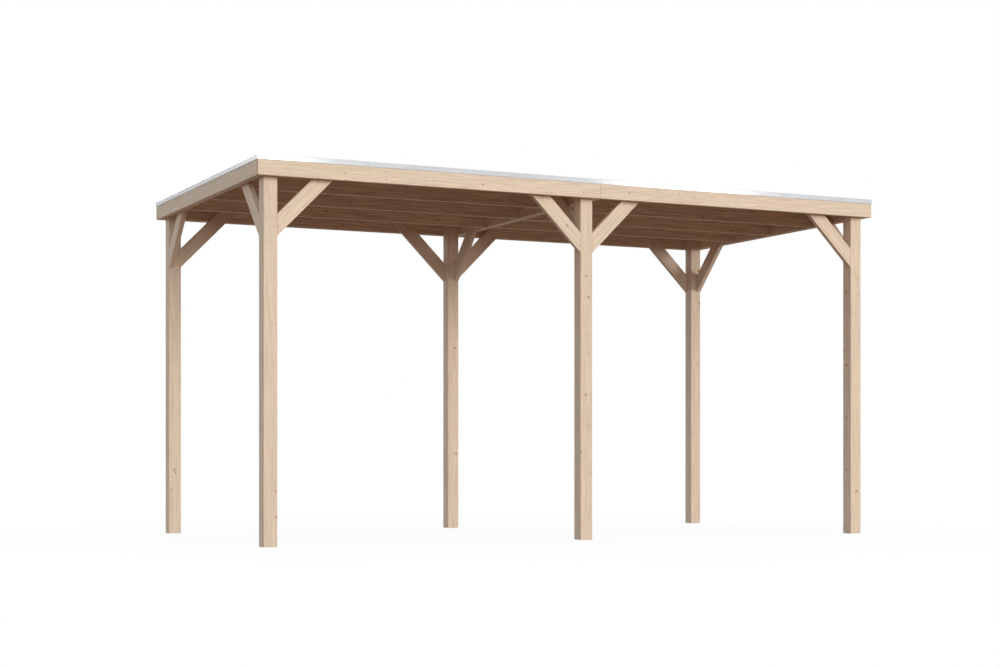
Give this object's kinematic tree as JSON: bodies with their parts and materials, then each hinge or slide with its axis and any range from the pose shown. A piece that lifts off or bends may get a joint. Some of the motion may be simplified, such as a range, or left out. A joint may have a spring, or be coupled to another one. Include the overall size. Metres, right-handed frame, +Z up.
{
  "type": "garden pavilion",
  "caption": "Open timber garden pavilion: square posts with knee braces carry a flat framed roof with fascia boards and a metal edge trim.",
  "frame": {"origin": "on the ground, under the middle of the roof", "axes": "+X along the long front to the right, +Y from the front to the back, +Z up"},
  "size_m": [4.624, 2.376, 2.411],
  "materials": {
    "post_timber": "planed spruce, untreated",
    "brace_timber": "planed spruce, untreated",
    "frame_timber": "planed spruce, untreated",
    "fascia_timber": "planed spruce, untreated",
    "roof_boarding": "planed tongue and groove boards",
    "membrane": "matt dark grey roofing sheet",
    "edge_trim": "satin"
  },
  "bodies": {
    "root": {"post_front_left": "post_timber", "post_front_middle": "post_timber", "post_front_right": "post_timber", "post_back_left": "post_timber", "post_back_middle": "post_timber", "post_back_right": "post_timber", "brace_front_left": "brace_timber", "brace_front_middle_left": "brace_timber", "brace_front_middle_right": "brace_timber", "brace_front_right": "brace_timber", "brace_back_left": "brace_timber", "brace_back_middle_left": "brace_timber", "brace_back_middle_right": "brace_timber", "brace_back_right": "brace_timber", "brace_left_front": "brace_timber", "brace_left_back": "brace_timber", "brace_middle_front": "brace_timber", "brace_middle_back": "brace_timber", "brace_right_front": "brace_timber", "brace_right_back": "brace_timber", "rim_front_left": "frame_timber", "rim_front_right": "frame_timber", "rim_back_left": "frame_timber", "rim_back_right": "frame_timber", "rim_left": "frame_timber", "rim_middle_left": "frame_timber", "rim_middle_right": "frame_timber", "rim_right": "frame_timber", "joist_left_front": "frame_timber", "joist_left_middle": "frame_timber", "joist_left_back": "frame_timber", "joist_right_front": "frame_timber", "joist_right_middle": "frame_timber", "joist_right_back": "frame_timber", "fascia_front_left": "fascia_timber", "fascia_front_right": "fascia_timber", "fascia_back_left": "fascia_timber", "fascia_back_right": "fascia_timber", "fascia_left": "fascia_timber", "fascia_right": "fascia_timber", "roof_boards": "roof_boarding", "roof_membrane": "membrane", "trim_front": "edge_trim", "trim_back": "edge_trim", "trim_left": "edge_trim", "trim_right": "edge_trim"}
  },
  "joints": []
}
